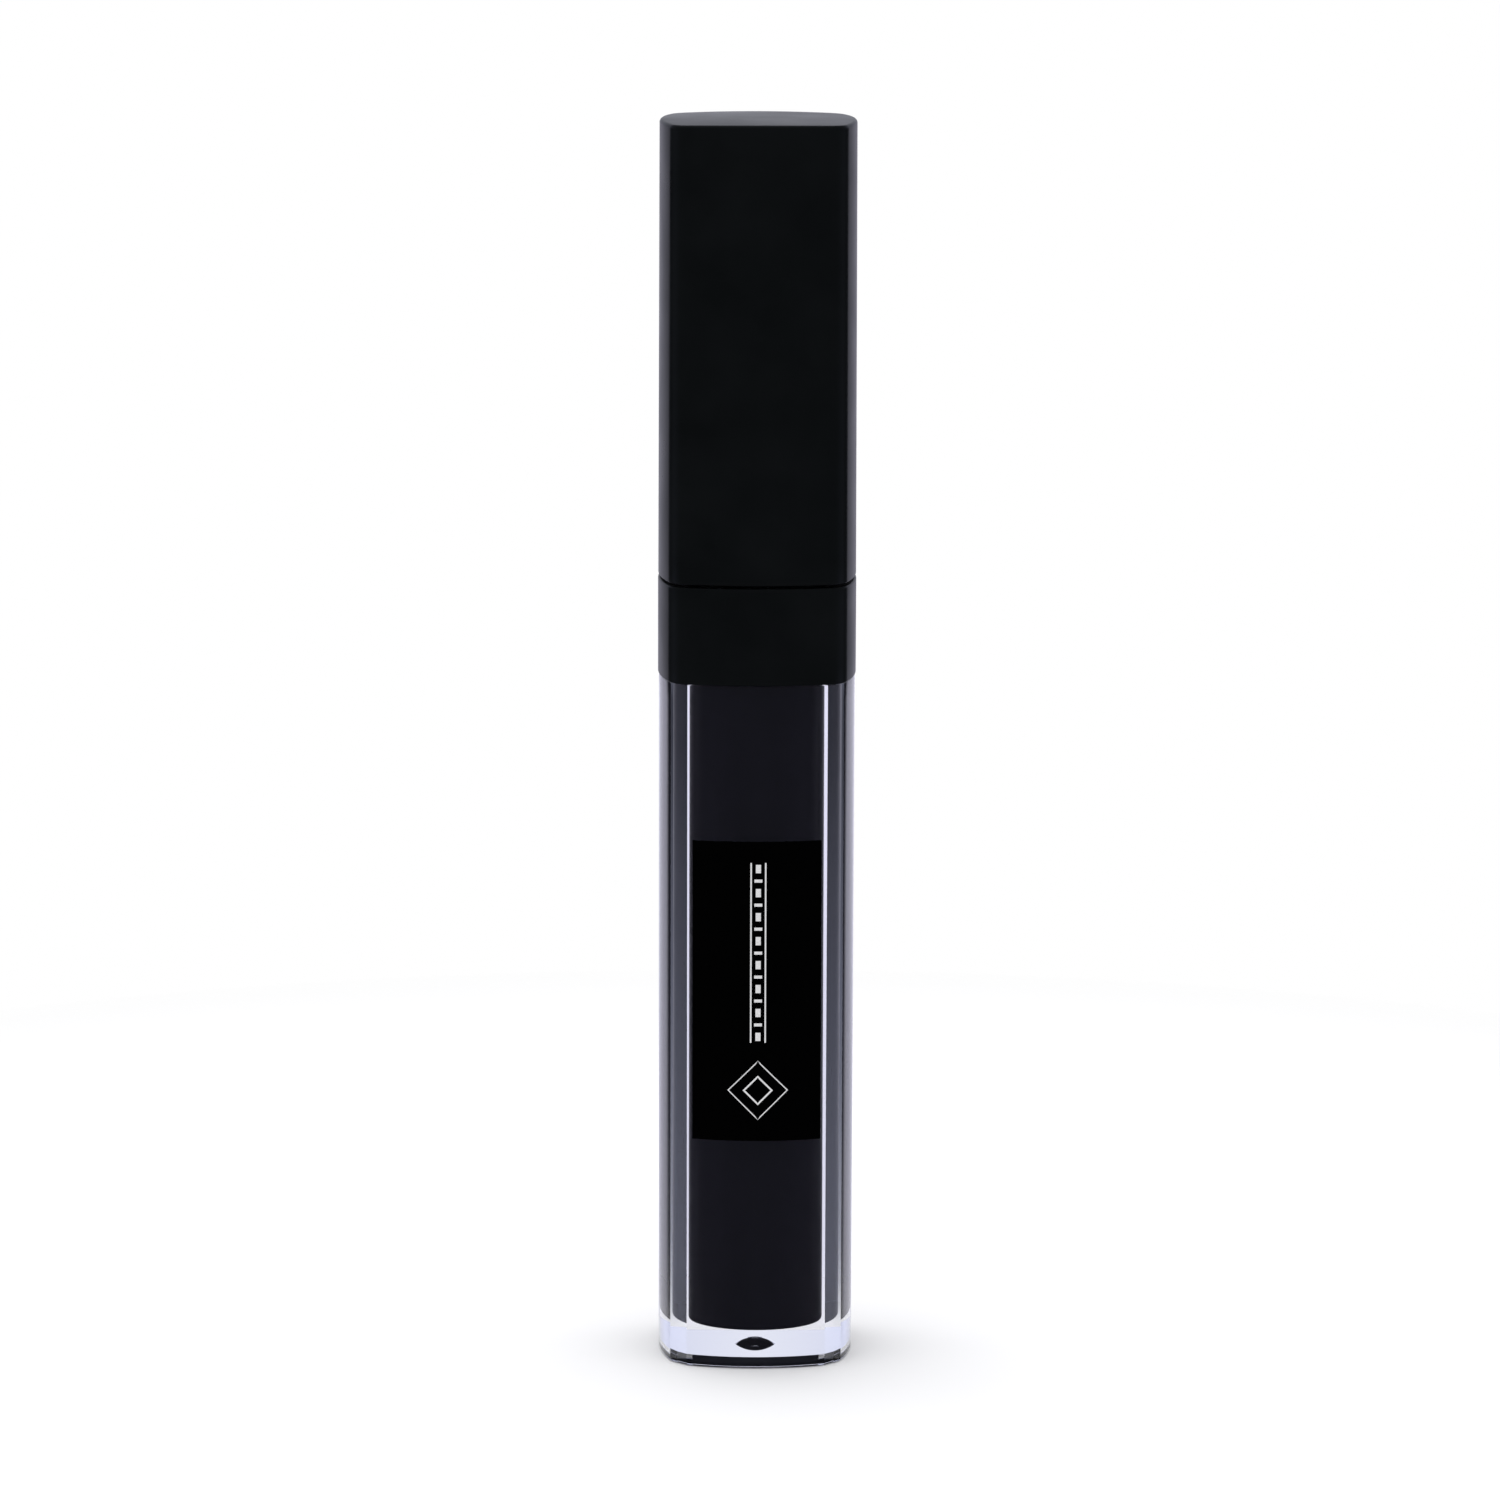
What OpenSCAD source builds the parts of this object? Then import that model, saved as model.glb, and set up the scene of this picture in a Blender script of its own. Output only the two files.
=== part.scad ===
// Square lip gloss tube with a screw cap and a doe-foot wand.
// The base stands on z = 0, the long axis is +Z and the labelled face looks along -Y.

/* [Outer form] */
// Width across the two flats of the collar, the widest piece
width = 17; // [16.6:0.1:18]
// Height from the base to the top of the cap
total_h = 107.3; // [104:0.1:112]
// Size of the 24-7-25 triangle that sets the crown of the sides and the place of the corners
section_unit = 0.8; // [0.78:0.01:0.82]

/* [Bottle] */
// Height of the clear square body, up to the collar
shoulder_h = 59.7; // [57.7:0.5:60.7]
// How far the clear body is set in from the collar on each side
bottle_inset = 0.08; // [0:0.02:0.2]
// Radius of the crown across each clear side
bottle_crown_r = 17.6; // [17:0.1:22]
// Distance from the axis to each chamfered corner of the clear body
chamfer_reach = 9.44; // [9.4:0.02:9.6]
// Diameter of the round bore that holds the gloss
bore_d = 9.6; // [9.5:0.1:9.9]
// Thickness of the clear floor under the gloss
floor_t = 2.8; // [2.4:0.1:4]
// Radius of the rounding round the bottom of the bore
bore_round = 0.4; // [0.3:0.1:2]
// Radius of the rounding round the base
base_round = 0.35; // [0.2:0.05:1]
// Width of the foot that runs round the underside
foot_w = 1.2; // [1.1:0.1:1.6]
// Height of the raised underside inside the foot
recess_h = 0.85; // [0.5:0.05:1]
// Diameter of the round gate mark in the underside
gate_d = 3; // [2.5:0.1:5]
// Depth of the gate mark
gate_depth = 0.6; // [0.2:0.05:0.8]
// Height of the gloss when the wand is in
gloss_h = 64; // [60:1:66]

/* [Neck and thread] */
// Diameter of the neck wall
neck_d = 11.5; // [11.4:0.1:11.8]
// Height of the neck above the clear body
neck_h = 18.5; // [18:0.5:19]
// Rise of the thread in one turn
thread_pitch = 3; // [2.5:0.5:3.5]
// Turns of thread on the neck
thread_turns = 1.25; // [1:0.25:1.5]
// Height of the thread ridge on the neck
thread_depth = 0.45; // [0.3:0.05:0.45]

/* [Collar] */
// Height of the collar
collar_h = 8.3; // [8.1:0.1:8.5]
// Wall of the collar round the spigot
collar_wall = 1.1; // [0.9:0.1:1.2]
// Thickness of the web at the top of the collar
collar_web = 1.4; // [1:0.1:1.8]

/* [Cap] */
// Gap between the collar and the closed cap
cap_gap = 0.25; // [0.15:0.05:0.4]
// Wall of the cap
cap_wall = 1.2; // [1:0.05:1.25]
// Thickness of the cap's top
cap_roof = 1.4; // [1:0.1:2]
// How much narrower the cap is at its top on each side
cap_draft = 0.09; // [0:0.01:0.15]
// Radius of the rounding round the top of the cap
cap_round = 0.5; // [0.4:0.1:0.8]
// How far the middle of the cap's top rises above the middle of its edges
cap_dome = 0.2; // [0.1:0.05:0.3]

/* [Wand] */
// Diameter of the rod
rod_d = 3.8; // [3.6:0.1:3.8]
// Largest width of the flocked tip
tip_d = 4.2; // [3.8:0.1:4.2]
// Length of the flocked tip below the rod
tip_l = 15; // [12:0.5:16]
// Height of the tip's point above the base
tip_z = 5.5; // [4.5:0.5:7]

/* [Hidden] */
$fn = 96;

half_w = width / 2;

// Each side is an arc about a point crown_c beyond the axis, and each corner an arc about
// (corner_c, corner_c). The line through both centres is the long side of a 24-7-25 triangle,
// so the two arcs touch there and every centre is a round number.
crown_c = (24 - 7) * section_unit;
corner_c = 7 * section_unit;
crown_r = half_w + crown_c;
corner_r = crown_r - 25 * section_unit;

// Heights of the closed tube, from the base up
collar_top = shoulder_h + collar_h;
cap_bottom = collar_top + cap_gap;
neck_top = shoulder_h + neck_h;
cap_h = total_h - cap_bottom;

// Bottle
bottle_half = half_w - bottle_inset;
chamfer_crown_r = 120;
bore_r = bore_d / 2;
neck_r = neck_d / 2;
edge_round = 0.15;
gate_r = gate_d / 2;
gate_top = recess_h + gate_depth;
gate_ball_r = (gate_r * gate_r + gate_depth * gate_depth) / (2 * gate_depth);
gate_pip_r = 0.5;
gate_pip_h = 0.25;
neck_rim = 0.3;
bead_r = 0.3;
bead_z = collar_top + 0.35;

// Thread ridges: a trapezium swept up a right-handed helix
thread_z = collar_top + 2.4;
thread_root = 0.75;
thread_flat = 0.25;
thread_sink = 0.2;
thread_steps = 30;
thread_fade = 3;
crest_gap = 0.08;

// Spigot that the collar is pushed over
collar_draft = 0.02;
spigot_inset = collar_wall + 0.05;
spigot_h = collar_h - collar_web - 0.1;

// Wiper, seated on the rim of the neck
wiper_flange_r = neck_r - 0.1;
wiper_flange_t = 0.7;
wiper_mouth_r = 4;
wiper_hole_r = 2.15;
wiper_lip_r = 2.7;
wiper_lip_h = 1;
wiper_skirt = 4.2;
wiper_l = 9.8;
wiper_groove = 0.25;
wiper_top = neck_top + wiper_flange_t;

// Liner, glued inside the cap
liner_bottom = cap_bottom + 0.85;
liner_in_r = neck_r + thread_depth + 0.4;
liner_out_r = liner_in_r + 0.6;
liner_h = wiper_top + 0.3 - liner_bottom;
disc_z = liner_bottom + liner_h;
disc_t = 1.6;
disc_top = disc_z + disc_t;
key_root = liner_out_r - 0.3;
key_reach = 8.4;
key_t = 1.2;
plug_r = 3.7;
plug_t = 0.6;
plug_l = 2;
boss_r = 3.1;
boss_h = 12;
gusset_t = 0.8;
gusset_h = 6;
gusset_reach = 6.8;

// Ribs inside the cap that stop the liner
rib_t = 1;
rib_reach = 6.3;
rib_z = disc_top + 0.05;
cap_inset = 0.02;
cavity_inset = cap_inset + cap_wall;
dome_r = (half_w * half_w + cap_dome * cap_dome) / (2 * cap_dome);

// Wand
rod_r = rod_d / 2;
run_gap = 0.03;
socket_top = disc_top + boss_h - 0.3;
rod_bottom = tip_z + tip_l;
rod_top = socket_top - 0.1;
rod_chamfer = 0.3;
rod_flange_r = 2.5;
rod_flange_t = 0.8;
tip_r = tip_d / 2;
tip_shoulder = 1.2;
tip_bevel = 13;
tip_nose = 0.3;
tail_r = 1.2;
tail_l = 5;
well_r = tip_r + 0.2;

// Printed panel on the front
label_w = 11;
label_z = 20.2;
label_h = 26.1;
label_t = 0.06;

// ---- building blocks ----

// Quarter of a circle that rounds a rim, for a lower rim (side -1) or an upper one (side 1)
module quarter(x, y, r, side) {
    translate([x, y])
    intersection() {
        circle(r = r);
        translate([0, side < 0 ? -r : 0])
        square(r);
    }
}

// Turned disc with rounded rims; its top is narrower than its foot by draft
module turned_disc(r, h, draft, low, high) {
    rotate_extrude()
    union() {
        polygon([
            [0, 0],
            [r - low, 0],
            [r - low, low],
            [r, low],
            [r - draft, h - high],
            [r - draft - high, h - high],
            [r - draft - high, h],
            [0, h],
        ]);
        if (low > 0) quarter(r - low, low, low, -1);
        if (high > 0) quarter(r - draft - high, h - high, high, 1);
    }
}

// Large turned disc of radius r whose rim makes one crowned side, reach from the axis
module side_disc(turn, reach, r, h, draft, low, high) {
    rotate(turn)
    translate([reach - r, 0])
    turned_disc(r, h, draft, low, high);
}

// The four round corners of a crowned post
module corner_posts(inset, h, draft, low, high) {
    for (turn = [0:90:270])
        rotate(turn)
        translate([corner_c, corner_c])
        turned_disc(corner_r - inset, h, draft, low, high);
}

// Plan area where the side arcs rule, with the four corner wedges left out
module side_zone() {
    across = corner_c + 24 * section_unit / 2;
    along = corner_c + 7 * section_unit / 2;
    polygon([
        for (turn = [0:90:270])
            for (p = [[across, -along], [across, along], [corner_c, corner_c]])
                [p.x * cos(turn) - p.y * sin(turn), p.x * sin(turn) + p.y * cos(turn)]
    ]);
}

// Upright square post with crowned sides and round corners.
// inset is measured from the collar's outer face; low and high round the two rims.
module crowned_post(inset, h, draft = 0, low = 0, high = 0) {
    reach = half_w - inset;
    r = crown_r - inset;
    intersection() {
        side_disc(0, reach, r, h, draft, low, high);
        side_disc(90, reach, r, h, draft, low, high);
        side_disc(180, reach, r, h, draft, low, high);
        side_disc(270, reach, r, h, draft, low, high);
        linear_extrude(h)
        side_zone();
    }
    corner_posts(inset, h, draft, low, high);
}

// Outline of the clear body, set in by inset: four crowned sides and four chamfers
module chamfered_post(inset, h, low = 0, high = 0) {
    side = bottle_half - inset;
    side_r = bottle_crown_r - inset;
    cut = chamfer_reach - inset;
    cut_r = chamfer_crown_r - inset;
    intersection() {
        side_disc(0, side, side_r, h, 0, low, high);
        side_disc(90, side, side_r, h, 0, low, high);
        side_disc(180, side, side_r, h, 0, low, high);
        side_disc(270, side, side_r, h, 0, low, high);
        side_disc(45, cut, cut_r, h, 0, low, high);
        side_disc(135, cut, cut_r, h, 0, low, high);
        side_disc(225, cut, cut_r, h, 0, low, high);
        side_disc(315, cut, cut_r, h, 0, low, high);
    }
}

// One ring of a thread ridge; the ridge rises out of its wall at both ends
function ridge_ring(i, steps, r, depth, side) =
    let (
        turn = 360 * i / thread_steps,
        z = thread_pitch * i / thread_steps,
        fade = min(1, i / thread_fade, (steps - i) / thread_fade),
        root = r - side * thread_sink,
        crest = r + side * (fade * (depth + thread_sink / 2) - thread_sink / 2)
    )
    [
        [root * cos(turn), root * sin(turn), z - thread_root],
        [crest * cos(turn), crest * sin(turn), z - thread_flat],
        [crest * cos(turn), crest * sin(turn), z + thread_flat],
        [root * cos(turn), root * sin(turn), z + thread_root],
    ];

function turned_over(faces) =
    [for (f = faces) [for (i = [len(f) - 1:-1:0]) f[i]]];

// Helical ridge that stands out of a wall of radius r (side 1) or into it (side -1)
module thread_ridge(r, depth, side) {
    steps = round(thread_turns * thread_steps);
    points = [for (i = [0:steps]) each ridge_ring(i, steps, r, depth, side)];
    walls = [
        for (i = [0:steps - 1])
            for (k = [0:3])
                each [
                    [4 * i + k, 4 * i + (k + 1) % 4, 4 * i + 4 + (k + 1) % 4],
                    [4 * i + k, 4 * i + 4 + (k + 1) % 4, 4 * i + 4 + k],
                ]
    ];
    ends = [
        [3, 2, 1, 0],
        [4 * steps, 4 * steps + 1, 4 * steps + 2, 4 * steps + 3],
    ];
    faces = concat(walls, ends);
    polyhedron(points, side > 0 ? faces : turned_over(faces), convexity = 8);
}

module ring(outer, inner, h) {
    difference() {
        cylinder(r = outer, h = h);
        translate([0, 0, -1])
        cylinder(r = inner, h = h + 2);
    }
}

// ---- the pieces ----

// Half section of the round space inside the bottle, up to height top
module bore_section(top) {
    union() {
        translate([0, floor_t])
        square([bore_r - bore_round, bore_round]);
        translate([0, floor_t + bore_round])
        square([bore_r, top - floor_t - bore_round]);
        quarter(bore_r - bore_round, floor_t + bore_round, bore_round, -1);
    }
}

// Clear thick-walled body with the collar's spigot and the threaded neck
module bottle() {
    color("lightsteelblue", 0.35) {
        difference() {
            union() {
                chamfered_post(0, shoulder_h, base_round, edge_round);
                translate([0, 0, shoulder_h - 1])
                crowned_post(spigot_inset, spigot_h + 1);
                cylinder(r = neck_r, h = neck_top - neck_rim);
                translate([0, 0, neck_top - neck_rim])
                cylinder(r1 = neck_r, r2 = neck_r - neck_rim, h = neck_rim);
                rotate_extrude()
                translate([neck_r, bead_z])
                circle(r = bead_r);
                translate([0, 0, thread_z])
                thread_ridge(neck_r, thread_depth, 1);
            }
            rotate_extrude()
            bore_section(neck_top + 1);
            translate([0, 0, -1])
            chamfered_post(foot_w, recess_h + 1);
            translate([0, 0, gate_top - gate_ball_r])
            sphere(r = gate_ball_r);
        }
        translate([0, 0, gate_top - gate_pip_h])
        cylinder(r = gate_pip_r, h = gate_pip_h + 0.1);
    }
}

// The gloss, with the well that the wand stands in
module gloss_fill() {
    color([0.09, 0.06, 0.1])
    difference() {
        rotate_extrude()
        bore_section(gloss_h);
        translate([0, 0, tip_z - 0.3])
        cylinder(r = well_r, h = gloss_h);
    }
}

// Thin printed panel that follows the crown of the front side
module front_label() {
    color([0.02, 0.02, 0.02])
    intersection() {
        translate([0, bottle_crown_r - bottle_half, label_z])
        ring(bottle_crown_r + label_t, bottle_crown_r, label_h);
        translate([-label_w / 2, -width, label_z])
        cube([label_w, width, label_h]);
    }
}

// Square ring over the spigot, held down by the snap bead on the neck
module collar() {
    color([0.06, 0.06, 0.06])
    difference() {
        translate([0, 0, shoulder_h])
        crowned_post(0, collar_h, collar_draft, edge_round, edge_round);
        translate([0, 0, shoulder_h - 1])
        crowned_post(collar_wall, collar_h - collar_web + 1);
        translate([0, 0, shoulder_h])
        cylinder(r = neck_r + 0.05, h = collar_h + 1);
    }
}

// Soft insert in the neck; its lip scrapes the rod
module wiper() {
    skirt_z = neck_top - wiper_skirt;
    lip_z = neck_top - wiper_l;
    color("white", 0.8)
    difference() {
        rotate_extrude()
        polygon([
            [wiper_mouth_r, wiper_top],
            [wiper_flange_r, wiper_top],
            [wiper_flange_r, neck_top],
            [bore_r, neck_top],
            [bore_r, skirt_z],
            [wiper_lip_r, lip_z],
            [wiper_hole_r, lip_z],
            [wiper_hole_r, lip_z + wiper_lip_h],
            [wiper_mouth_r, skirt_z + wiper_lip_h],
        ]);
        for (z = [skirt_z + 1, skirt_z + 2.4])
            translate([0, 0, z])
            ring(bore_r + 1, bore_r - wiper_groove, 0.8);
    }
}

// Turned body whose top is the gentle dome of the cap
module dome_body() {
    rotate_extrude()
    intersection() {
        translate([0, total_h - dome_r])
        circle(r = dome_r, $fn = 1440);
        translate([0, cap_bottom])
        square([width, cap_h + 1]);
    }
}

// Square outer cap with stop ribs over the liner
module cap_shell() {
    roof_z = total_h - cap_roof;
    color([0.06, 0.06, 0.06]) {
        difference() {
            intersection() {
                translate([0, 0, cap_bottom])
                crowned_post(cap_inset, cap_h, cap_draft, edge_round, cap_round);
                dome_body();
            }
            translate([0, 0, cap_bottom - 1])
            crowned_post(cavity_inset, cap_h - cap_roof + 1);
        }
        for (turn = [0:90:270])
            rotate(turn)
            translate([rib_reach, -rib_t / 2, rib_z])
            cube([half_w - cavity_inset - rib_reach + 0.3, rib_t, roof_z - rib_z + 0.3]);
    }
}

// Screw insert: thread, seal plug, rod socket and the keys that turn with the cap
module cap_liner() {
    color([0.12, 0.12, 0.13]) {
        difference() {
            union() {
                translate([0, 0, liner_bottom])
                cylinder(r = liner_out_r, h = liner_h + disc_t);
                for (turn = [45:90:315])
                    rotate(turn)
                    translate([key_root, -key_t / 2, liner_bottom + 0.5])
                    cube([key_reach - key_root, key_t, liner_h + disc_t - 1]);
                cylinder_between(boss_r, disc_z, disc_top + boss_h);
                gussets();
            }
            cylinder_between(liner_in_r, liner_bottom - 1, disc_z);
            cylinder_between(rod_r + run_gap, disc_z - 1, socket_top);
        }
        translate([0, 0, disc_z - plug_l])
        ring(plug_r, plug_r - plug_t, plug_l + 0.1);
        translate([0, 0, thread_z - thread_pitch / 2])
        thread_ridge(liner_in_r, liner_in_r - neck_r - thread_depth - crest_gap, -1);
    }
}

module cylinder_between(r, low, high) {
    translate([0, 0, low])
    cylinder(r = r, h = high - low);
}

// Webs that stiffen the rod socket
module gussets() {
    for (turn = [45:90:315])
        rotate(turn)
        translate([0, gusset_t / 2, disc_top])
        rotate([90, 0, 0])
        linear_extrude(gusset_t)
        polygon([
            [0, -0.5],
            [gusset_reach, -0.5],
            [gusset_reach, 0],
            [boss_r, gusset_h],
            [0, gusset_h],
        ]);
}

// Rod with a stop flange under the liner and a socket for the tip
module wand_rod() {
    flange_top = disc_z - 0.05;
    color([0.1, 0.1, 0.1])
    difference() {
        union() {
            cylinder_between(rod_r, rod_bottom, rod_top - rod_chamfer);
            translate([0, 0, rod_top - rod_chamfer])
            cylinder(r1 = rod_r, r2 = rod_r - rod_chamfer, h = rod_chamfer);
            cylinder_between(rod_flange_r, flange_top - rod_flange_t, flange_top);
        }
        cylinder_between(tail_r + run_gap, rod_bottom - 1, rod_bottom + tail_l + 0.2);
    }
}

// Flocked doe-foot: a round-nosed bar with one long slanted face
module applicator_tip() {
    body_top = rod_bottom - run_gap;
    color([0.2, 0.1, 0.16])
    union() {
        difference() {
            union() {
                translate([0, 0, tip_z + tip_r])
                sphere(r = tip_r);
                cylinder_between(tip_r, tip_z + tip_r, body_top - tip_shoulder);
                translate([0, 0, body_top - tip_shoulder])
                cylinder(r1 = tip_r, r2 = rod_r, h = tip_shoulder);
            }
            translate([tip_nose, 0, tip_z])
            rotate([0, tip_bevel, 0])
            translate([0, -width / 2, -width])
            cube([width, width, 2 * width]);
        }
        cylinder_between(tail_r, body_top - tip_shoulder, rod_bottom + tail_l);
    }
}

bottle();
gloss_fill();
front_label();
collar();
wiper();
cap_shell();
cap_liner();
wand_rod();
applicator_tip();
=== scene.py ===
"""Square lip gloss tube: a clear bottle of dark gloss with a soft-touch black collar and cap.

The bottle, gloss, collar, cap, label and the ornament on it are meshes made here. The wiper,
the cap's liner, the wand's rod and its tip are the CAD's own, with new materials."""

import math

import bmesh
import bpy
from mathutils import Matrix, Vector


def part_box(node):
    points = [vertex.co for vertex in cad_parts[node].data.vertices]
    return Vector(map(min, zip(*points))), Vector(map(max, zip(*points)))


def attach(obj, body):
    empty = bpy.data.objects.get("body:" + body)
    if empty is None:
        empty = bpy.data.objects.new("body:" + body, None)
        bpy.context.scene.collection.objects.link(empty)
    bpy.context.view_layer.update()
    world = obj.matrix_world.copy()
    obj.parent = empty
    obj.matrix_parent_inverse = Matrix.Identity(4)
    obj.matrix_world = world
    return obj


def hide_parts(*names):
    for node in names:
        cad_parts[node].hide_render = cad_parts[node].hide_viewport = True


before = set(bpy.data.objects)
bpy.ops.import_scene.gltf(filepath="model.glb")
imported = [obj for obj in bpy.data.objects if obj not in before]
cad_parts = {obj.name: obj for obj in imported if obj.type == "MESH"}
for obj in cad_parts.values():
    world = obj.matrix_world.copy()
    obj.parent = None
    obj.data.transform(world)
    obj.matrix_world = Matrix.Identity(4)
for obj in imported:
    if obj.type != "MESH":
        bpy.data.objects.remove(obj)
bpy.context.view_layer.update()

MM = 0.001
TAU = 2 * math.pi

# ---- the frame's places and sizes, in metres ----

bottle_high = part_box("bottle")[1]
collar_low, collar_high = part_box("collar")
cap_low, cap_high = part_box("cap_shell")
gloss_low, gloss_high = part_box("gloss_fill")
label_low, label_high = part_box("front_label")
tip_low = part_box("applicator_tip")[0]

# ---- sizes that several pieces share ----

BORE_R = 4.8 * MM
BORE_ROUND = 0.4 * MM
NECK_R = 5.75 * MM
EDGE_ROUND = 0.15 * MM
# How far a piece reaches into one that it touches, so that no film of air shows between them
CONTACT = 0.02 * MM

# ---- outlines: four sides and four corners, with the same number of points in each ----

PER_SIDE = 36
PER_CORNER = 20

# The collar's and the cap's crowned square. A side's arc meets a corner's arc at an angle
# whose tangent is 7/24, and their centres are 25 units apart.
HALF_W = 8.5 * MM
SECTION_UNIT = 0.8 * MM
CROWN_C = 17 * SECTION_UNIT
CORNER_C = 7 * SECTION_UNIT
CROWN_R = HALF_W + CROWN_C
CORNER_R = CROWN_R - 25 * SECTION_UNIT
CROWN_ANGLE = math.atan2(7, 24)

# The clear body's crowned sides, and its chamfers, which are all but flat
CLEAR_HALF = 8.42 * MM
CLEAR_CROWN_R = 17.6 * MM
CLEAR_CROWN_C = CLEAR_CROWN_R - CLEAR_HALF
CHAMFER_REACH = 9.44 * MM
CHAMFER_CROWN_R = 120 * MM
CHAMFER_C = (CHAMFER_CROWN_R - CHAMFER_REACH) / math.sqrt(2)


def four_sided(side_c, side_r, side_a, corner_c, corner_r, corner_a):
    """One turn of an outline whose sides and corners are arcs, from the +X side on.

    A side's arc has its centre at (side_c, 0) and reaches side_a each way. A corner's has its
    centre at (corner_c, corner_c) and starts at the angle corner_a."""
    points = []
    for quarter in range(4):
        cos_t, sin_t = math.cos(quarter * TAU / 4), math.sin(quarter * TAU / 4)
        arcs = [
            (side_c + side_r * math.cos(a), side_r * math.sin(a))
            for a in (side_a * (2 * i / PER_SIDE - 1) for i in range(PER_SIDE))
        ]
        sweep = TAU / 4 - 2 * corner_a
        arcs += [
            (corner_c + corner_r * math.cos(a), corner_c + corner_r * math.sin(a))
            for a in (corner_a + sweep * i / PER_CORNER for i in range(PER_CORNER))
        ]
        points += [(x * cos_t - y * sin_t, x * sin_t + y * cos_t) for x, y in arcs]
    return points


def section(inset):
    """The crowned square with round corners, moved in by inset."""
    return four_sided(
        -CROWN_C, CROWN_R - inset, CROWN_ANGLE, CORNER_C, CORNER_R - inset, CROWN_ANGLE
    )


def clear_section(inset):
    """The clear body's outline, moved in by inset."""
    side_r, cut_r = CLEAR_CROWN_R - inset, CHAMFER_CROWN_R - inset
    # The edge is where the two arcs cross: along the line of their centres, then across it
    gap = math.hypot(CHAMFER_C - CLEAR_CROWN_C, CHAMFER_C)
    along = (side_r**2 - cut_r**2 + gap**2) / (2 * gap)
    across = math.sqrt(side_r**2 - along**2)
    ux, uy = (CLEAR_CROWN_C - CHAMFER_C) / gap, -CHAMFER_C / gap
    edge_x = -CLEAR_CROWN_C + ux * along - uy * across
    edge_y = uy * along + ux * across
    side_a = math.atan2(edge_y, edge_x + CLEAR_CROWN_C)
    cut_a = math.atan2(edge_y + CHAMFER_C, edge_x + CHAMFER_C)
    return four_sided(-CLEAR_CROWN_C, side_r, side_a, -CHAMFER_C, cut_r, cut_a)


SECTION_TURN = [math.atan2(y, x) for x, y in section(0)]


def circle(radius):
    """A round ring whose points stand at the same angles as the section's."""
    return [(radius * math.cos(a), radius * math.sin(a)) for a in SECTION_TURN]


def flat_ring(outline, z):
    """The outline as a ring of points at one height."""
    return [(x, y, z) for x, y in outline]


def between(outer, inner, share):
    """An outline part of the way from outer to inner."""
    return [
        (a[0] + (b[0] - a[0]) * share, a[1] + (b[1] - a[1]) * share)
        for a, b in zip(outer, inner)
    ]


def rim_rings(outline, inset, z, radius, side, steps=10):
    """Rings round a rounded rim whose outermost outline is at inset.

    side is -1 for a lower rim, from its flat up to the wall, and 1 for an upper rim, from
    the wall up to its flat."""
    rings = []
    for i in range(steps + 1):
        a = i / steps * TAU / 4
        if side > 0:
            in_by, up = radius * (1 - math.cos(a)), radius * math.sin(a)
            rings.append(flat_ring(outline(inset + in_by), z - radius + up))
        else:
            in_by, up = radius * (1 - math.sin(a)), radius * (1 - math.cos(a))
            rings.append(flat_ring(outline(inset + in_by), z + up))
    return rings


# ---- mesh helpers ----


def link_mesh(name, bm, sharp=35):
    """Object of the finished bmesh, smooth but for edges over the sharp angle, in degrees."""
    bmesh.ops.recalc_face_normals(bm, faces=bm.faces)
    mesh = bpy.data.meshes.new(name)
    bm.to_mesh(mesh)
    bm.free()
    for polygon in mesh.polygons:
        polygon.use_smooth = True
    mesh.set_sharp_from_angle(angle=math.radians(sharp))
    obj = bpy.data.objects.new(name, mesh)
    bpy.context.scene.collection.objects.link(obj)
    return obj


def loft(name, rings, closed=False, low_tip=None, high_tip=None, sharp=35):
    """Skin over rings of equal length. closed joins the last ring to the first.

    low_tip and high_tip are points that close the two ends with fans."""
    bm = bmesh.new()
    rows = [[bm.verts.new(p) for p in ring] for ring in rings]
    count = len(rings[0])
    pairs = list(zip(rows, rows[1:]))
    if closed:
        pairs.append((rows[-1], rows[0]))
    for lower, upper in pairs:
        for i in range(count):
            j = (i + 1) % count
            bm.faces.new((lower[i], lower[j], upper[j], upper[i]))
    if low_tip is not None:
        tip = bm.verts.new(low_tip)
        for i in range(count):
            bm.faces.new((rows[0][(i + 1) % count], rows[0][i], tip))
    if high_tip is not None:
        tip = bm.verts.new(high_tip)
        for i in range(count):
            bm.faces.new((rows[-1][i], rows[-1][(i + 1) % count], tip))
    return link_mesh(name, bm, sharp)


def turned_ring(radius, z, steps):
    """Evenly spaced points round the Z axis."""
    turns = [TAU * i / steps for i in range(steps)]
    return [(radius * math.cos(a), radius * math.sin(a), z) for a in turns]


def skin_sheets(bm, back, face):
    """Closed shell between two sheets, each a list of rows of vertices from the foot up."""
    for row in range(len(face) - 1):
        up = row + 1
        for i in range(len(face[row]) - 1):
            j = i + 1
            bm.faces.new((face[row][i], face[row][j], face[up][j], face[up][i]))
            bm.faces.new((back[row][i], back[up][i], back[up][j], back[row][j]))
        bm.faces.new((face[row][0], face[up][0], back[up][0], back[row][0]))
        bm.faces.new((back[row][-1], back[up][-1], face[up][-1], face[row][-1]))
    for i in range(len(face[0]) - 1):
        j = i + 1
        bm.faces.new((back[0][i], back[0][j], face[0][j], face[0][i]))
        bm.faces.new((face[-1][i], face[-1][j], back[-1][j], back[-1][i]))


# ---- material helpers ----


def new_material(name):
    """A material, its node tree and its shader."""
    material = bpy.data.materials.new(name)
    material.use_nodes = True
    tree = material.node_tree
    shader = tree.nodes["Principled BSDF"]
    return material, tree, shader


def add_node(tree, kind, **settings):
    """A new node of the kind, with the given attributes."""
    node = tree.nodes.new(kind)
    for key, value in settings.items():
        setattr(node, key, value)
    return node


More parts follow.
